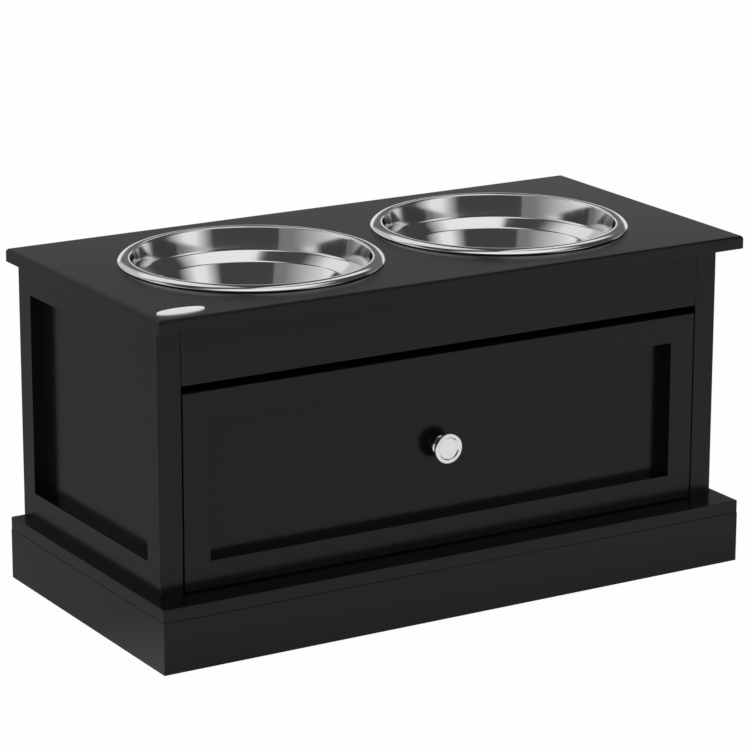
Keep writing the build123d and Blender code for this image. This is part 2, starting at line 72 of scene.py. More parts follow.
class Body(Enum):
    """The bodies that pieces ride on."""

    CABINET = "cabinet"
    DRAWER = "drawer"
    LEFT_BOWL = "left_bowl"
    RIGHT_BOWL = "right_bowl"


class Grain(Enum):
    """Axis along which a wooden piece's grain runs."""

    X = (0.08, 1.0, 1.0)
    Y = (1.0, 0.08, 1.0)
    Z = (1.0, 1.0, 0.08)


class Lathe(Enum):
    """Axis that a turned piece is spun about."""

    UPRIGHT = (0.0, 0.0, 1.0)
    FORWARD = (0.0, 1.0, 0.0)


# ---------------------------------------------------------------------------
# Shader helpers
# ---------------------------------------------------------------------------


@dataclass
class ShaderTree:
    """A node tree being laid out, with short ways to add and join its nodes."""

    tree: bpy.types.NodeTree
    column: float = field(default=0.0, init=False)

    def add(self, kind: str, **settings: object) -> bpy.types.Node:
        """Add a node to the right of the last one.

        Args:
            kind: Blender's type name of the node.
            **settings: Properties of the node, by name.

        Returns:
            The new node.
        """
        node = self.tree.nodes.new(kind)
        node.location = (self.column, 0.0)
        self.column += NODE_SPACING
        for name, value in settings.items():
            setattr(node, name, value)
        return node

    def join(self, source: bpy.types.NodeSocket, target: bpy.types.NodeSocket) -> None:
        """Link an output to an input."""
        self.tree.links.new(source, target)

    def put(self, value: object, target: bpy.types.NodeSocket) -> None:
        """Give an input a value, or link it where the value is a socket."""
        if isinstance(value, bpy.types.NodeSocket):
            self.join(value, target)
        else:
            target.default_value = value

    def feed(self, node: bpy.types.Node, **inputs: object) -> None:
        """Set or link a node's inputs.

        Args:
            node: The node.
            **inputs: A value or an output socket for each input, named in capitals with
                underscores for spaces.
        """
        for name, value in inputs.items():
            self.put(value, node.inputs[name.replace("_", " ")])

    def math(self, operation: str, *values: object) -> bpy.types.NodeSocket:
        """Add a maths node over values or sockets, and return its output."""
        node = self.add("ShaderNodeMath", operation=operation)
        for socket, value in zip(node.inputs, values):
            self.put(value, socket)
        return node.outputs[0]

    def remap(
        self, value: bpy.types.NodeSocket, low: float, high: float, to_low: float, to_high: float
    ) -> bpy.types.NodeSocket:
        """Map a range of values onto another, clamped, and return the output."""
        node = self.add("ShaderNodeMapRange", clamp=True)
        self.feed(
            node, Value=value, From_Min=low, From_Max=high, To_Min=to_low, To_Max=to_high
        )
        return node.outputs["Result"]

    def noise(
        self, coordinates: bpy.types.NodeSocket, scale: float, detail: float, rough: float = 0.55
    ) -> bpy.types.NodeSocket:
        """Add a noise texture over coordinates and return its value."""
        node = self.add("ShaderNodeTexNoise")
        self.feed(node, Vector=coordinates, Scale=scale, Detail=detail, Roughness=rough)
        return node.outputs["Fac"]

    def ray_shares(self) -> tuple[bpy.types.NodeSocket, bpy.types.NodeSocket]:
        """Add a light path node, and tell what the camera sees and what is mirrored."""
        path = self.add("ShaderNodeLightPath")
        seen = self.math(
            "MAXIMUM", path.outputs["Is Camera Ray"], path.outputs["Is Transmission Ray"]
        )
        return seen, path.outputs["Is Glossy Ray"]

    def mix(self, amount: object, first: object, second: object) -> bpy.types.NodeSocket:
        """Mix two colours or colour sockets and return the colour."""
        node = self.add("ShaderNodeMix", data_type="RGBA")
        self.put(amount, node.inputs["Factor"])
        self.put(first, node.inputs[MIX_FIRST])
        self.put(second, node.inputs[MIX_SECOND])
        return node.outputs[MIX_RESULT]


def new_material(name: str) -> tuple[bpy.types.Material, ShaderTree, bpy.types.Node]:
    """Start a material.

    Args:
        name: The material's name.

    Returns:
        The material, its tree and its Principled node.
    """
    material = bpy.data.materials.new(name)
    material.use_nodes = True
    shader = ShaderTree(material.node_tree)
    return material, shader, material.node_tree.nodes["Principled BSDF"]


def roughen(
    shader: ShaderTree,
    bsdf: bpy.types.Node,
    height: bpy.types.NodeSocket,
    strength: float = 1.0,
    distance: float = 1.0,
) -> None:
    """Bump a surface.

    Args:
        shader: The material's tree.
        bsdf: Its Principled node.
        height: Height of the surface, in metres where the distance is 1.
        strength: Share of the bump that shows.
        distance: Metres that a height of 1 stands for.
    """
    bump = shader.add("ShaderNodeBump")
    shader.feed(bump, Height=height, Strength=strength, Distance=distance)
    shader.join(bump.outputs["Normal"], bsdf.inputs["Normal"])


def group_tree(name: str, inputs: Sequence[str], outputs: Sequence[str]) -> ShaderTree:
    """Start a shader node group.

    Args:
        name: The group's name.
        inputs: Its number inputs. It also has a vector input called Coordinates.
        outputs: Its outputs, all numbers.

    Returns:
        The group's tree, with its input and output nodes in place.
    """
    tree = bpy.data.node_groups.new(name, "ShaderNodeTree")
    tree.interface.new_socket("Coordinates", in_out="INPUT", socket_type="NodeSocketVector")
    for way, socket_names in (("INPUT", inputs), ("OUTPUT", outputs)):
        for socket_name in socket_names:
            tree.interface.new_socket(
                socket_name, in_out=way, socket_type="NodeSocketFloat"
            )
    shader = ShaderTree(tree)
    shader.add("NodeGroupInput", name="In")
    shader.add("NodeGroupOutput", name="Out")
    return shader


def make_sprayed_group(cloud_scale: float = 9.0) -> bpy.types.NodeTree:
    """Build the group of a sprayed surface.

    Args:
        cloud_scale: Clouds per metre.

    Returns:
        A group with a soft cloud, from 0 to 1, and the height of the paint's orange peel.
    """
    shader = group_tree(
        "sprayed_surface", ("Peel Scale", "Peel Height"), ("Cloud", "Height")
    )
    source, result = shader.tree.nodes["In"], shader.tree.nodes["Out"]
    cloud = shader.noise(source.outputs["Coordinates"], cloud_scale, detail=3.0)
    shader.join(shader.remap(cloud, *NOISE_SPAN, 0.0, 1.0), result.inputs["Cloud"])
    scaled = shader.add("ShaderNodeVectorMath", operation="SCALE")
    shader.join(source.outputs["Coordinates"], scaled.inputs[0])
    shader.join(source.outputs["Peel Scale"], scaled.inputs["Scale"])
    peel = shader.noise(scaled.outputs[0], scale=1.0, detail=3.0)
    shader.join(
        shader.math("MULTIPLY", peel, source.outputs["Peel Height"]), result.inputs["Height"]
    )
    return shader.tree


# ---------------------------------------------------------------------------
# Finishes
# ---------------------------------------------------------------------------


@dataclass(frozen=True)
class SatinPaint:
    """Black satin paint sprayed on board: smooth, with a faint even orange peel."""

    name: str = "satin_black_paint"
    colour: tuple[float, float, float] = (0.003, 0.003, 0.0031)
    pale_colour: tuple[float, float, float] = (0.0034, 0.0034, 0.0035)
    roughness: float = 0.2
    roughness_spread: float = 0.01
    specular: float = 0.185
    peel_scale: float = 900.0
    peel_height: float = 0.0015 * MM

    def build(self, sprayed: bpy.types.NodeTree) -> bpy.types.Material:
        """Make the paint.

        Args:
            sprayed: The shared group of a sprayed surface.

        Returns:
            The material.
        """
        material, shader, bsdf = new_material(self.name)
        place = shader.add("ShaderNodeTexCoord").outputs["Object"]
        surface = shader.add("ShaderNodeGroup", node_tree=sprayed)
        shader.feed(
            surface,
            Coordinates=place,
            Peel_Scale=self.peel_scale,
            Peel_Height=self.peel_height,
        )
        cloud = surface.outputs["Cloud"]
        shader.feed(
            bsdf,
            Base_Color=shader.mix(cloud, (*self.colour, 1.0), (*self.pale_colour, 1.0)),
            Roughness=shader.remap(
                cloud,
                0.0,
                1.0,
                self.roughness - self.roughness_spread,
                self.roughness + self.roughness_spread,
            ),
        )
        roughen(shader, bsdf, surface.outputs["Height"])
        shader.feed(bsdf, Specular_IOR_Level=self.specular)
        return material


@dataclass(frozen=True)
class BareWood:
    """Planed wood of the hidden pieces, with its grain along one axis."""

    name: str
    grain: Grain
    light: tuple[float, float, float] = (0.56, 0.41, 0.26)
    dark: tuple[float, float, float] = (0.40, 0.26, 0.14)
    fibre_scale: float = 320.0
    ring_scale: float = 60.0
    streak_span: tuple[float, float] = (0.38, 0.62)
    smoothest: float = 0.49
    roughest: float = 0.63
    bump_strength: float = 0.12
    bump_depth: float = 0.4 * MM

    def build(self) -> bpy.types.Material:
        """Make the wood, its fibres drawn out along the grain, and return its material."""
        material, shader, bsdf = new_material(self.name)
        place = shader.add("ShaderNodeTexCoord").outputs["Object"]
        stretch = shader.add("ShaderNodeMapping")
        shader.join(place, stretch.inputs["Vector"])
        stretch.inputs["Scale"].default_value = self.grain.value
        along = stretch.outputs["Vector"]
        fibres = shader.noise(along, self.fibre_scale, detail=5.0, rough=0.6)
        rings = shader.noise(along, self.ring_scale, detail=2.0)
        streaks = shader.math("MULTIPLY", shader.math("ADD", fibres, rings), 0.5)
        shader.feed(
            bsdf,
            Base_Color=shader.mix(
                shader.remap(streaks, *self.streak_span, 0.0, 1.0),
                (*self.light, 1.0),
                (*self.dark, 1.0),
            ),
            Roughness=shader.remap(fibres, *NOISE_SPAN, self.smoothest, self.roughest),
        )
        roughen(shader, bsdf, fibres, self.bump_strength, self.bump_depth)
        return material


@dataclass(frozen=True)
class TurnedMetal:
    """A metal finish with fine rings about an axis, and faint streaks that run across them."""

    name: str
    colour: tuple[float, float, float]
    roughness: float
    axis: Lathe
    centre: tuple[float, float, float]
    metallic: float = 1.0
    ring_scale: float = 2600.0
    ring_height: float = 0.0004 * MM
    streak_scale: float = 60.0
    streak_height: float = 0.0
    roughness_spread: float = 0.05
    smoothest: float = 0.02
    ring_shade: float = 0.94

    def build(self) -> bpy.types.Material:
        """Make the metal and return its material."""
        material, shader, bsdf = new_material(self.name)
        middle = shader.add("ShaderNodeVectorMath", operation="SUBTRACT")
        shader.join(shader.add("ShaderNodeTexCoord").outputs["Object"], middle.inputs[0])
        middle.inputs[1].default_value = self.centre
        flat = shader.add("ShaderNodeVectorMath", operation="MULTIPLY")
        shader.join(middle.outputs[0], flat.inputs[0])
        flat.inputs[1].default_value = [1.0 - share for share in self.axis.value]
        radius = shader.add("ShaderNodeVectorMath", operation="LENGTH")
        shader.join(flat.outputs[0], radius.inputs[0])
        depth = shader.add("ShaderNodeVectorMath", operation="DOT_PRODUCT")
        shader.join(middle.outputs[0], depth.inputs[0])
        depth.inputs[1].default_value = self.axis.value
        rings = shader.add("ShaderNodeCombineXYZ")
        shader.join(radius.outputs["Value"], rings.inputs["X"])
        shader.join(depth.outputs["Value"], rings.inputs["Y"])
        lines = shader.noise(rings.outputs[0], self.ring_scale, detail=2.0, rough=0.5)
        outward = shader.add("ShaderNodeVectorMath", operation="NORMALIZE")
        shader.join(flat.outputs[0], outward.inputs[0])
        streaks = shader.noise(outward.outputs[0], self.streak_scale, detail=3.0, rough=0.6)
        mottle = shader.math("ADD", lines, streaks)
        shader.feed(
            bsdf,
            Base_Color=shader.mix(
                lines,
                (*(channel * self.ring_shade for channel in self.colour), 1.0),
                (*self.colour, 1.0),
            ),
            Metallic=self.metallic,
            Roughness=shader.remap(
                mottle,
                *NOISE_SUM_SPAN,
                max(self.roughness - self.roughness_spread, self.smoothest),
                self.roughness + self.roughness_spread,
            ),
        )
        streak_bump = shader.math("MULTIPLY", streaks, self.streak_height)
        roughen(
            shader, bsdf, shader.math("MULTIPLY_ADD", lines, self.ring_height, streak_bump)
        )
        return material


@dataclass(frozen=True)
class PlatedSteel:
    """Zinc-plated steel of the screws."""

    name: str = "zinc_plated_steel"
    colour: tuple[float, float, float] = (0.62, 0.63, 0.64)
    shade: float = 0.86
    pit_scale: float = 420.0
    pit_height: float = 0.004 * MM
    smoothest: float = 0.26
    roughest: float = 0.44

    def build(self) -> bpy.types.Material:
        """Make the plating and return its material."""
        material, shader, bsdf = new_material(self.name)
        place = shader.add("ShaderNodeTexCoord").outputs["Object"]
        grey = shader.noise(place, self.pit_scale, detail=3.0)
        shader.feed(
            bsdf,
            Base_Color=shader.mix(
                grey,
                (*(channel * self.shade for channel in self.colour), 1.0),
                (*self.colour, 1.0),
            ),
            Metallic=1.0,
            Roughness=shader.remap(grey, *NOISE_SPAN, self.smoothest, self.roughest),
        )
        roughen(shader, bsdf, shader.math("MULTIPLY", grey, self.pit_height))
        return material


# ---------------------------------------------------------------------------
# Modelling helpers
# ---------------------------------------------------------------------------


def deselect_all() -> None:
    """Go to object mode and leave nothing selected."""
    if bpy.context.object and bpy.context.object.mode != "OBJECT":
        bpy.ops.object.mode_set(mode="OBJECT")
    bpy.ops.object.select_all(action="DESELECT")


def spun_piece(
    name: str,
    outline: Sequence[tuple[float, float]],
    centre: Vector,
    axis: Lathe,
    steps: int,
) -> bpy.types.Object:
    """Draw an outline point by point and spin it into a closed, smooth piece.

    Args:
        name: The piece's name.
        outline: Points of the half section, as radius and height along the axis, in metres. Both
            its ends are on the axis.
        centre: A point on the axis, at height zero.
        axis: What the outline is spun about.
        steps: Number of facets round the piece.

    Returns:
        The piece, with its place in its mesh.
    """
    points = [
        centre + (Vector((r, 0.0, h)) if axis is Lathe.UPRIGHT else Vector((r, h, 0.0)))
        for r, h in outline
    ]
    deselect_all()
    bpy.ops.mesh.primitive_plane_add(size=MM, location=points[0])
    piece = bpy.context.object
    piece.name = piece.data.name = name
    bpy.ops.object.transform_apply(location=True, rotation=True, scale=True)
    bpy.ops.object.mode_set(mode="EDIT")
    bpy.ops.mesh.select_mode(type="VERT")
    bpy.ops.mesh.select_all(action="SELECT")
    bpy.ops.mesh.merge(type="CENTER")
    for here, onward in zip(points, points[1:]):
        bpy.ops.mesh.extrude_region_move(TRANSFORM_OT_translate={"value": onward - here})
    bpy.ops.mesh.select_all(action="SELECT")
    bpy.ops.mesh.spin(steps=steps, angle=math.tau, center=centre, axis=axis.value)
    bpy.ops.mesh.select_all(action="SELECT")
    bpy.ops.mesh.remove_doubles(threshold=WELD)
    bpy.ops.mesh.normals_make_consistent(inside=False)
    bpy.ops.object.mode_set(mode="OBJECT")
    bpy.ops.object.shade_smooth_by_angle(angle=math.radians(SMOOTH_ANGLE))
    return piece


def point_round(centre: Sequence[float], radius: float, angle: float) -> tuple[float, float]:
    """The point at a distance from a centre, at an angle in degrees."""
    turn = math.radians(angle)
    return centre[0] + radius * math.cos(turn), centre[1] + radius * math.sin(turn)


def arc(
    centre: Sequence[float], radius: float, start: float, sweep: float, count: int
) -> list[tuple[float, float]]:
    """Points of an arc, from a start angle through a sweep, both in degrees."""
    return [point_round(centre, radius, start + sweep * i / count) for i in range(count + 1)]


def arc_through(
    start: tuple[float, float], middle: tuple[float, float], end: tuple[float, float], count: int
) -> list[tuple[float, float]]:
    """Points of the arc through three points, from the first to the last."""
    a, b, c = Vector(start), Vector(middle), Vector(end)
    first, second = b - a, c - a
    area = 2.0 * (first.x * second.y - first.y * second.x)
    offset = Vector((
        second.y * first.length_squared - first.y * second.length_squared,
        first.x * second.length_squared - second.x * first.length_squared,
    )) / area
    hub = a + offset
    turn = (a - hub).angle_signed(b - hub) + (b - hub).angle_signed(c - hub)
    return [
        tuple(hub + Matrix.Rotation(-turn * i / count, 2) @ (a - hub)) for i in range(count + 1)
    ]


def rounded_corner(
    before: tuple[float, float],
    corner: tuple[float, float],
    after: tuple[float, float],
    radius: float,
    count: int,
) -> list[tuple[float, float]]:
    """Round a corner of an outline.

    Args:
        before: The outline's point before the corner.
        corner: The corner itself.
        after: The point after it.
        radius: Radius of the rounding.
        count: Number of segments of the rounding.

    Returns:
        Points from the start of the rounding to its end.
    """
    here = Vector(corner)
    back = (Vector(before) - here).normalized()
    on = (Vector(after) - here).normalized()
    half = back.angle(on) / 2
    reach = radius / math.tan(half)
    middle = here + (back + on).normalized() * (radius / math.sin(half))
    start, end = here + back * reach - middle, here + on * reach - middle
    turn = start.angle_signed(end)
    return [
        tuple(middle + Matrix.Rotation(-turn * i / count, 2) @ start) for i in range(count + 1)
    ]


def dress(obj: bpy.types.Object, material: bpy.types.Material) -> None:
    """Give an object one material."""
    obj.data.materials.clear()
    obj.data.materials.append(material)


def dress_nodes(names: Iterable[str], material: bpy.types.Material) -> None:
    """Give carried-over nodes one material, in their material slots."""
    for name in names:
        dress(frame["nodes"][name], material)


# ---------------------------------------------------------------------------
# Sub-assemblies
# ---------------------------------------------------------------------------


@dataclass
class Bowl:
    """A pressed steel bowl: domed rim, upper wall, shoulder, lower wall and floor."""

    side: str
    body: Body
    centre_x: float
    rest_gap: float = 0.28 * MM
    rim_outer: float = 118.6 * MM
    rim_curve: float = 9.4 * MM
    rim_edge_angle: float = 33.4
    rim_sweep: float = 80.0
    rim_bend: float = 2.5 * MM
    sheet: float = 1.0 * MM
    shoulder: tuple[float, float] = (104.0 * MM, -16.5 * MM)
    step: tuple[float, float] = (93.0 * MM, -25.0 * MM)
    floor: tuple[float, float] = (84.0 * MM, -50.0 * MM)
    bend: float = 4.0 * MM
    floor_bend: float = 9.0 * MM
    floor_rings: int = 4
    floor_steps: int = 10
    step_steps: int = 6
    bend_steps: int = 8
    dome_steps: int = 24
    steps: int = 192

    def rim_hub(self) -> Vector:
        """Middle of the rim's dome, as radius and height above the top board."""
        slope = math.radians(self.rim_edge_angle)
        return Vector((
            self.rim_outer - self.rim_curve * math.cos(slope),
            self.rest_gap - (self.rim_curve - self.sheet) * math.sin(slope),
        ))

    def edge_angle(self) -> float:
        """Angle at which the dome turns into the sheet's rounded edge, in degrees."""
        middle = self.rim_curve - self.sheet / 2
        return self.rim_edge_angle + math.degrees(self.sheet / 2 / middle)

    def rim_line(self, hub: Vector) -> list[tuple[float, float]]:
        """Points of the upper wall's end, the turn into the rim and the rim's dome.

        Args:
            hub: Middle of the rim's dome.

        Returns:
            Points from the top of the wall to the start of the sheet's rounded edge.
        """
        low = Vector(self.shoulder)
        start = point_round(hub, self.rim_curve, self.rim_edge_angle + self.rim_sweep)
        up = (Vector(start) - low).normalized()
        aside = Vector((up.y, -up.x))
        reach = self.rim_curve - self.rim_bend
        off = aside.dot(hub - low) - self.rim_bend
        along = up.dot(hub - low) + math.sqrt(reach ** 2 - off ** 2)
        turn = low + up * along + aside * self.rim_bend
        first = math.degrees(math.atan2(-aside.y, -aside.x)) % 360.0
        last = math.degrees(math.atan2(turn.y - hub.y, turn.x - hub.x))
        line = arc(turn, self.rim_bend, first, last - first, self.bend_steps)
        sweep = self.edge_angle() - last
        return line + arc(hub, self.rim_curve, last, sweep, self.dome_steps)[1:]

    def sheet_edge(self, hub: Vector) -> list[tuple[float, float]]:
        """Points of the sheet's rounded edge, between its two faces."""
        angle = self.edge_angle()
        centre = point_round(hub, self.rim_curve - self.sheet / 2, angle)
        return arc(centre, self.sheet / 2, angle, -180.0, self.bend_steps)[1:-1]

    def inner_line(self, hub: Vector) -> list[tuple[float, float]]:
        """Points of the inner face, from the floor's middle to the rim's edge."""
        rim = self.rim_line(hub)
        middle = (0.0, self.floor[1])
        line = [
            (self.floor[0] * ring / self.floor_rings, self.floor[1])
            for ring in range(self.floor_rings)
        ]
        for before, corner, after, radius, count in (
            (middle, self.floor, self.step, self.floor_bend, self.floor_steps),
            (self.floor, self.step, self.shoulder, self.bend, self.step_steps),
            (self.step, self.shoulder, rim[0], self.bend, self.step_steps),
        ):
            line += rounded_corner(before, corner, after, radius, count)
        return line + rim

    def outer_line(self, line: Sequence[tuple[float, float]]) -> list[tuple[float, float]]:
        """The other face of the sheet, a thickness to the right of each point of the line."""
        outer = []
        for i, point in enumerate(line):
            before = Vector(line[max(i - 1, 0)])
            after = Vector(line[min(i + 1, len(line) - 1)])
            along = (after - before).normalized()
            outer.append(tuple(Vector(point) + Vector((along.y, -along.x)) * self.sheet))
        outer[0] = (0.0, outer[0][1])
        return outer

    def build(self, steel: bpy.types.Material) -> bpy.types.Object:
        """Spin the bowl.

        Args:
            steel: Its finish.

        Returns:
            The bowl, standing for its CAD node.
        """
        hub = self.rim_hub()
        line = self.inner_line(hub)
        outline = line + self.sheet_edge(hub) + self.outer_line(line)[::-1]
        piece = spun_piece(
            f"{self.side}_steel_bowl",
            outline,
            Vector((self.centre_x, 0.0, TOP_SURFACE)),
            Lathe.UPRIGHT,
            self.steps,
        )
        dress(piece, steel)
        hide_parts(f"{self.side}_bowl")
        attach(piece, self.body.value)
        LOG.info("%s: %d faces", piece.name, len(piece.data.polygons))
        return piece


@dataclass
class Knob:
    """The drawer's turned knob: flange, waisted neck and a dished round head."""

    panel_face: float = -108.0 * MM
    height: float = 147.95 * MM
    projection: float = 15.5 * MM
    flange: tuple[float, float] = (8.8 * MM, 1.6 * MM)
    neck: float = 5.0 * MM
    head: float = 14.0 * MM
    head_edge: float = 3.0 * MM
    edge_round: float = 1.2 * MM
    soft_edge: float = 0.25 * MM
    dish: tuple[float, float] = (10.4 * MM, 0.9 * MM)
    soft_steps: int = 4
    edge_steps: int = 8
    waist_steps: int = 24
    steps: int = 96

    def outline(self) -> list[tuple[float, float]]:
        """Half section of the knob.

        Returns:
            Points from the front's middle to the panel, as radius and depth behind the front.
        """
        under, base = self.head_edge, self.projection
        dish_radius, dish_depth = self.dish
        flange_radius, flange_edge = self.flange
        middle = (0.0, dish_depth)
        dish_foot, dish_lip = (dish_radius - dish_depth, dish_depth), (dish_radius, 0.0)
        front, behind = (self.head, 0.0), (self.head, under)
        waist = arc_through(
            behind,
            (self.neck, base - (flange_edge + base - under) / 2),
            (flange_radius, base - flange_edge),
            self.waist_steps,
        )
        line = [middle, (dish_radius / 2, dish_depth)]
        for before, corner, after, radius, count in (
            (middle, dish_foot, dish_lip, self.soft_edge, self.soft_steps),
            (dish_foot, dish_lip, front, self.soft_edge, self.soft_steps),
            (dish_lip, front, behind, self.edge_round, self.edge_steps),
            (front, behind, waist[1], self.soft_edge, self.soft_steps),
        ):
            line += rounded_corner(before, corner, after, radius, count)
        return line + waist[1:] + [(flange_radius, base), (0.0, base)]

    def build(self, metal: bpy.types.Material) -> bpy.types.Object:
        """Turn the knob and return it.

        Args:
            metal: Its finish.

        Returns:
            The knob, standing for its CAD node.
        """
        piece = spun_piece(
            "turned_knob",
            self.outline(),
            Vector((0.0, self.panel_face - self.projection, self.height)),
            Lathe.FORWARD,
            self.steps,
        )
        dress(piece, metal)
        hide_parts("drawer_knob")
        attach(piece, Body.DRAWER.value)
        LOG.info("%s: %d faces", piece.name, len(piece.data.polygons))
        return piece


@dataclass
class Badge:
    """A bare oval metal plate with a raised plain border."""

    centre: tuple[float, float] = (-268.7 * MM, -128.25 * MM)
    length: float = 44.5 * MM
    width: float = 16.5 * MM
    thickness: float = 1.5 * MM
    border: float = 1.4 * MM
    field_drop: float = 0.4 * MM
    chamfer: float = 0.35 * MM
    facets: int = 96
    upward: float = 0.9
    edge_share: float = 0.995
    smooth_angle: float = 30.0

    def build(self, metal: bpy.types.Material) -> bpy.types.Object:
        """Press the plate.

        Args:
            metal: Its finish.

        Returns:
            The plate, standing for its CAD node.
        """
        deselect_all()
        bpy.ops.mesh.primitive_cylinder_add(
            vertices=self.facets,
            radius=self.length / 2,
            depth=self.thickness,
            location=(*self.centre, TOP_SURFACE + self.thickness / 2),
        )
        piece = bpy.context.object
        piece.name = piece.data.name = "oval_plate"
        piece.scale = (1.0, self.width / self.length, 1.0)
        bpy.ops.object.transform_apply(location=True, rotation=True, scale=True)
        bpy.ops.object.mode_set(mode="EDIT")
        bpy.ops.mesh.select_mode(type="FACE")
        bpy.ops.mesh.select_all(action="DESELECT")
        bpy.ops.object.mode_set(mode="OBJECT")
        for polygon in piece.data.polygons:
            polygon.select = polygon.normal.z > self.upward
        bpy.ops.object.mode_set(mode="EDIT")
        bpy.ops.mesh.inset(thickness=self.chamfer, depth=0.0)
        bpy.ops.mesh.inset(thickness=self.border, depth=0.0)
        bpy.ops.mesh.inset(thickness=self.field_drop, depth=-self.field_drop)
        bpy.ops.mesh.inset(thickness=self.border / 3, depth=0.0)
        bpy.ops.object.mode_set(mode="OBJECT")
        top = TOP_SURFACE + self.thickness
        half = Vector((self.length / 2, self.width / 2))
        for vertex in piece.data.vertices:
            place = Vector((vertex.co.x - self.centre[0], vertex.co.y - self.centre[1]))
            reach = (place.x / half.x) ** 2 + (place.y / half.y) ** 2
            outer = reach > self.edge_share
            if outer and abs(vertex.co.z - top) < WELD:
                vertex.co.z -= self.chamfer
        bpy.ops.object.shade_smooth_by_angle(angle=math.radians(self.smooth_angle))
        dress(piece, metal)
        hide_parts("badge_plate")
        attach(piece, Body.CABINET.value)
        LOG.info("%s: %d faces", piece.name, len(piece.data.polygons))
        return piece


@dataclass
class Woodwork:
    """The painted boards and the bare pieces behind them, kept as the CAD has them."""

    paint: bpy.types.Material
    woods: dict[Grain, bpy.types.Material]

    def dress(self) -> None:
        """Paint the boards that are seen, and give each bare piece wood along its length."""
        slots = {
            part["node"]: part["material_slot"] for part in frame["record"]["subparts"]
        }
        painted = [name for name, slot in slots.items() if slot == "black_paint"]
        dress_nodes(painted, self.paint)
        bare = [name for name, slot in slots.items() if slot == "bare_wood"]
        for name in bare:
            low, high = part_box(name)
            size = high - low
            longest = max(range(3), key=lambda axis: size[axis])
            dress_nodes([name], self.woods[tuple(Grain)[longest]])
        LOG.info("painted %d nodes, left %d bare", len(painted), len(bare))


# ---------------------------------------------------------------------------
# Studio
# ---------------------------------------------------------------------------


@dataclass(frozen=True)
class Panel:
    """A white or grey panel of the studio, as reflections show it.

    Its sides are turns from the camera's side, positive to the camera's left, and its top and
    bottom are heights above the horizon, all in degrees. Each fades from one angle to the next.
    """

    rise: tuple[float, float]
    fall: tuple[float, float]
    bottom: tuple[float, float]
    top: tuple[float, float]
    strength: float

    def share(
        self, shader: ShaderTree, turn: bpy.types.NodeSocket, height: bpy.types.NodeSocket
    ) -> bpy.types.NodeSocket:
        """Light that the panel sends from a direction.

        Args:
            shader: The world's tree.
            turn: The direction's turn from the camera's side.
            height: Its height above the horizon.

        Returns:
            The strength there, and zero beside the panel.
        """
        level = shader.remap(turn, *self.rise, 0.0, self.strength)
        for angle, edge, start, end in (
            (turn, self.fall, 1.0, 0.0),
            (height, self.bottom, 0.0, 1.0),
            (height, self.top, 1.0, 0.0),
        ):
            level = shader.math("MULTIPLY", level, shader.remap(angle, *edge, start, end))
        return level


STUDIO_PANELS = (
    # Wall on the right
    Panel((-94.0, -70.0), (-58.0, -38.0), (-15.0, -5.0), (36.0, 44.0), 0.95),
    # Wall on the left, dim at its near end
    Panel((23.0, 26.0), (104.0, 109.0), (-15.0, -5.0), (40.0, 48.0), 0.22),
    Panel((20.0, 98.0), (104.0, 109.0), (-15.0, -5.0), (40.0, 48.0), 0.95),
    # Far corners, right and left
    Panel((-150.0, -128.0), (-122.0, -119.0), (-10.0, 0.0), (16.0, 22.0), 0.6),
    Panel((110.0, 116.0), (154.0, 164.0), (-10.0, 0.0), (30.0, 40.0), 0.62),
    # Dim backdrop, in its left and right halves
    Panel((121.0, 133.0), (181.0, 182.0), (-10.0, 0.0), (26.0, 36.0), 0.155),
    Panel((-182.0, -181.0), (-133.0, -121.0), (-10.0, 0.0), (26.0, 36.0), 0.155),
    # Low white backdrop, in its left and right halves
    Panel((150.0, 158.0), (181.0, 182.0), (-10.0, -2.0), (8.0, 12.4), 0.9),
    Panel((-182.0, -181.0), (-158.0, -150.0), (-10.0, -2.0), (8.0, 12.4), 0.9),
    # Ceiling, open towards the far left
    Panel((-130.0, -122.0), (45.0, 75.0), (48.0, 62.0), (91.0, 92.0), 1.0),
    # High panels over the backdrop, right and left
    Panel((-172.0, -168.0), (-152.0, -146.0), (26.0, 32.0), (91.0, 92.0), 0.95),
    Panel((108.0, 124.0), (168.0, 172.0), (25.0, 35.0), (68.0, 76.0), 0.9),
)


@dataclass(frozen=True)
class SoftBox:
    """A rectangular lamp: its place, width and height, power in watts, and what it faces."""

    name: str
    place: tuple[float, float, float]
    size: tuple[float, float]
    watts: float
    target: tuple[float, float, float] = (0.0, 0.0, 0.2)

    def hang(self) -> None:
        """Add the lamp, out of sight of reflections."""
        data = bpy.data.lights.new(self.name, "AREA")
        data.shape = "RECTANGLE"
        data.size, data.size_y = self.size
        data.energy = self.watts
        lamp = bpy.data.objects.new(self.name, data)
        aim = (Vector(self.target) - Vector(self.place)).normalized()
        turned = aim.to_track_quat("-Z", "Y").to_matrix().to_4x4()
        lamp.matrix_world = Matrix.Translation(self.place) @ turned
        lamp.visible_glossy = False
        bpy.context.scene.collection.objects.link(lamp)


SOFT_BOXES = (
    SoftBox("left_softbox", (-2.4, -1.2, 1.6), (1.6, 2.0), 26.0),
    SoftBox("right_softbox", (2.3, -1.5, 1.5), (1.6, 2.0), 26.0),
    SoftBox("top_softbox", (0.0, 0.2, 3.0), (2.2, 1.6), 12.0),
)


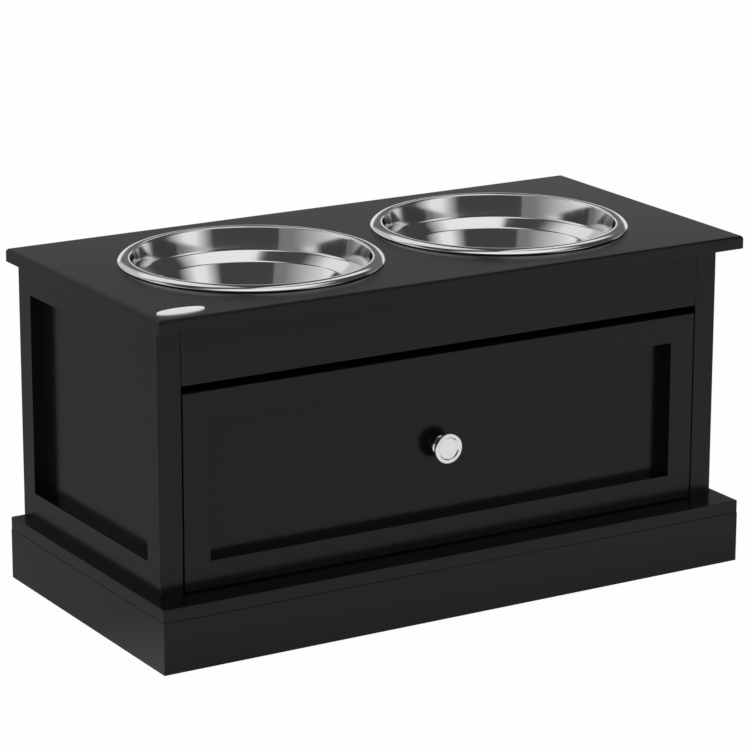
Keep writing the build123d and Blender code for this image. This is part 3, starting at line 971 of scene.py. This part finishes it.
@dataclass
class Studio:
    """The pale floor, the light room with its panels, the lamps and the camera."""

    camera_place: tuple[float, float, float] = (-1.59958, -2.65625, 1.06151)
    turn: float = -31.0167
    tilt: float = 15.7695
    roll: float = 0.1058
    lens: float = 169.839
    sensor_width: float = 36.0
    view_depth: float = 60.0
    floor_half: float = 8.0
    floor_colour: tuple[float, float, float] = (0.9, 0.9, 0.9)
    floor_roughness: float = 0.9
    floor_specular: float = 0.1
    floor_white: float = 0.97
    # Painted shade: the floor that paint and metal mirror dims over this span of Y, from the near
    # level in front of the object to the far level under and behind it
    painted_floor_shade_span: tuple[float, float] = (-0.24, 0.0)
    near_floor: float = 1.0
    painted_shade_far_floor: float = 0.41
    room_light: float = 0.6
    dark_room: float = 0.06
    panels: tuple[Panel, ...] = STUDIO_PANELS
    lamps: tuple[SoftBox, ...] = SOFT_BOXES

    def camera_side(self) -> tuple[Vector, Vector]:
        """Level directions towards the camera and to its right."""
        azimuth = math.radians(self.turn)
        return (
            Vector((math.sin(azimuth), -math.cos(azimuth), 0.0)),
            Vector((math.cos(azimuth), math.sin(azimuth), 0.0)),
        )

    def add_camera(self) -> None:
        """Place the camera as the photograph's."""
        level, right = self.camera_side()
        tilt, roll = math.radians(self.tilt), math.radians(self.roll)
        back = level * math.cos(tilt) + Vector((0.0, 0.0, math.sin(tilt)))
        up = back.cross(right)
        right, up = (
            right * math.cos(roll) + up * math.sin(roll),
            up * math.cos(roll) - right * math.sin(roll),
        )
        data = bpy.data.cameras.new("photo_camera")
        data.lens = self.lens
        data.sensor_width = self.sensor_width
        data.clip_end = self.view_depth
        camera = bpy.data.objects.new("photo_camera", data)
        camera.matrix_world = Matrix.Translation(self.camera_place) @ Matrix(
            (right, up, back)
        ).transposed().to_4x4()
        bpy.context.scene.collection.objects.link(camera)
        bpy.context.scene.camera = camera

    def add_floor(self) -> None:
        """Lay a pale floor that shows white in the picture and keeps the shadow, and that paint
        and metal mirror white in front of the object, with painted shade under and behind it.
        """
        deselect_all()
        bpy.ops.mesh.primitive_plane_add(size=2 * self.floor_half, location=(0.0, 0.0, 0.0))
        floor = bpy.context.object
        floor.name = floor.data.name = "studio_floor"
        material, shader, bsdf = new_material("studio_white")
        output = material.node_tree.nodes["Material Output"]
        shader.feed(
            bsdf,
            Base_Color=(*self.floor_colour, 1.0),
            Roughness=self.floor_roughness,
            Specular_IOR_Level=self.floor_specular,
        )
        seen, mirrored = shader.ray_shares()
        split = shader.add("ShaderNodeSeparateXYZ")
        shader.join(shader.add("ShaderNodeTexCoord").outputs["Object"], split.inputs[0])
        # Painted shade in the mirrored floor: full white in front of the object, dimming to the
        # far level under and behind it
        depth = shader.remap(
            split.outputs["Y"], *self.painted_floor_shade_span, self.near_floor, self.painted_shade_far_floor
        )
        glow = shader.add("ShaderNodeEmission")
        shader.feed(
            glow,
            Color=WHITE,
            Strength=shader.math(
                "MAXIMUM", seen, shader.math("MULTIPLY", mirrored, depth)
            ),
        )
        blend = shader.add("ShaderNodeMixShader")
        share = shader.math("MULTIPLY_ADD", seen, self.floor_white, mirrored)
        shader.join(share, blend.inputs[0])
        shader.join(bsdf.outputs[0], blend.inputs[1])
        shader.join(glow.outputs[0], blend.inputs[2])
        shader.join(blend.outputs[0], output.inputs["Surface"])
        material.cycles.emission_sampling = "NONE"
        dress(floor, material)

    def mirrored_room(self, shader: ShaderTree) -> bpy.types.NodeSocket:
        """Level of the room in each direction, as metal and paint mirror it.

        Args:
            shader: The world's tree.

        Returns:
            The brightest of the dark room and its panels.
        """
        towards, right = self.camera_side()
        direction = shader.add("ShaderNodeTexCoord").outputs["Generated"]
        flat = []
        for side in (towards, -right):
            along = shader.add("ShaderNodeVectorMath", operation="DOT_PRODUCT")
            shader.join(direction, along.inputs[0])
            along.inputs[1].default_value = side
            flat.append(along.outputs["Value"])
        split = shader.add("ShaderNodeSeparateXYZ")
        shader.join(direction, split.inputs[0])
        turn = shader.math("DEGREES", shader.math("ARCTAN2", flat[1], flat[0]))
        height = shader.math("DEGREES", shader.math("ARCSINE", split.outputs["Z"]))
        level = self.dark_room
        for panel in self.panels:
            level = shader.math("MAXIMUM", level, panel.share(shader, turn, height))
        return level

    def add_world(self) -> None:
        """Light the room evenly, show it white to the camera, and its panels to metal."""
        world = bpy.data.worlds.new("studio_world")
        bpy.context.scene.world = world
        world.use_nodes = True
        shader = ShaderTree(world.node_tree)
        background = world.node_tree.nodes["Background"]
        seen, mirrored = shader.ray_shares()
        plain = shader.math("SUBTRACT", 1.0, shader.math("MAXIMUM", seen, mirrored))
        level = shader.math("MULTIPLY_ADD", mirrored, self.mirrored_room(shader), seen)
        strength = shader.math("MULTIPLY_ADD", plain, self.room_light, level)
        shader.feed(background, Color=WHITE, Strength=strength)

    def build(self) -> None:
        """Set up the camera, the floor, the room and the lamps."""
        bpy.context.scene.view_settings.view_transform = "Standard"
        self.add_camera()
        self.add_floor()
        self.add_world()
        for lamp in self.lamps:
            lamp.hang()


def build_bowls() -> None:
    """Spin both bowls, each in steel turned about its own axis."""
    for side, body, centre_x in (
        ("left", Body.LEFT_BOWL, -BOWL_PLACE),
        ("right", Body.RIGHT_BOWL, BOWL_PLACE),
    ):
        steel = TurnedMetal(
            name=f"{side}_bowl_steel",
            colour=(0.8, 0.8, 0.805),
            roughness=0.085,
            roughness_spread=0.03,
            axis=Lathe.UPRIGHT,
            centre=(centre_x, 0.0, 0.0),
            streak_height=0.012 * MM,
        )
        Bowl(side, body, centre_x).build(steel.build())


def build_knob() -> None:
    """Turn the knob in satin nickel."""
    knob = Knob()
    nickel = TurnedMetal(
        name="satin_nickel",
        colour=(0.71, 0.71, 0.705),
        roughness=0.2,
        axis=Lathe.FORWARD,
        centre=(0.0, 0.0, knob.height),
    )
    knob.build(nickel.build())


def build_badge() -> None:
    """Press the badge plate in pale matt metal."""
    badge = Badge()
    plate = TurnedMetal(
        name="badge_metal",
        colour=(0.94, 0.94, 0.94),
        roughness=0.5,
        axis=Lathe.UPRIGHT,
        centre=(*badge.centre, 0.0),
        metallic=0.25,
    )
    badge.build(plate.build())


def main() -> None:
    """Build and dress the feeder, and set up the studio."""
    logging.basicConfig(level=logging.INFO)
    paint = SatinPaint().build(make_sprayed_group())
    woods = {grain: BareWood(f"bare_wood_{grain.name.lower()}", grain).build() for grain in Grain}
    Woodwork(paint, woods).dress()
    screws = [name for name in frame["nodes"] if "screw" in name]
    dress_nodes(screws, PlatedSteel().build())
    build_bowls()
    build_knob()
    build_badge()
    Studio().build()


if __name__ == "__main__":
    main()
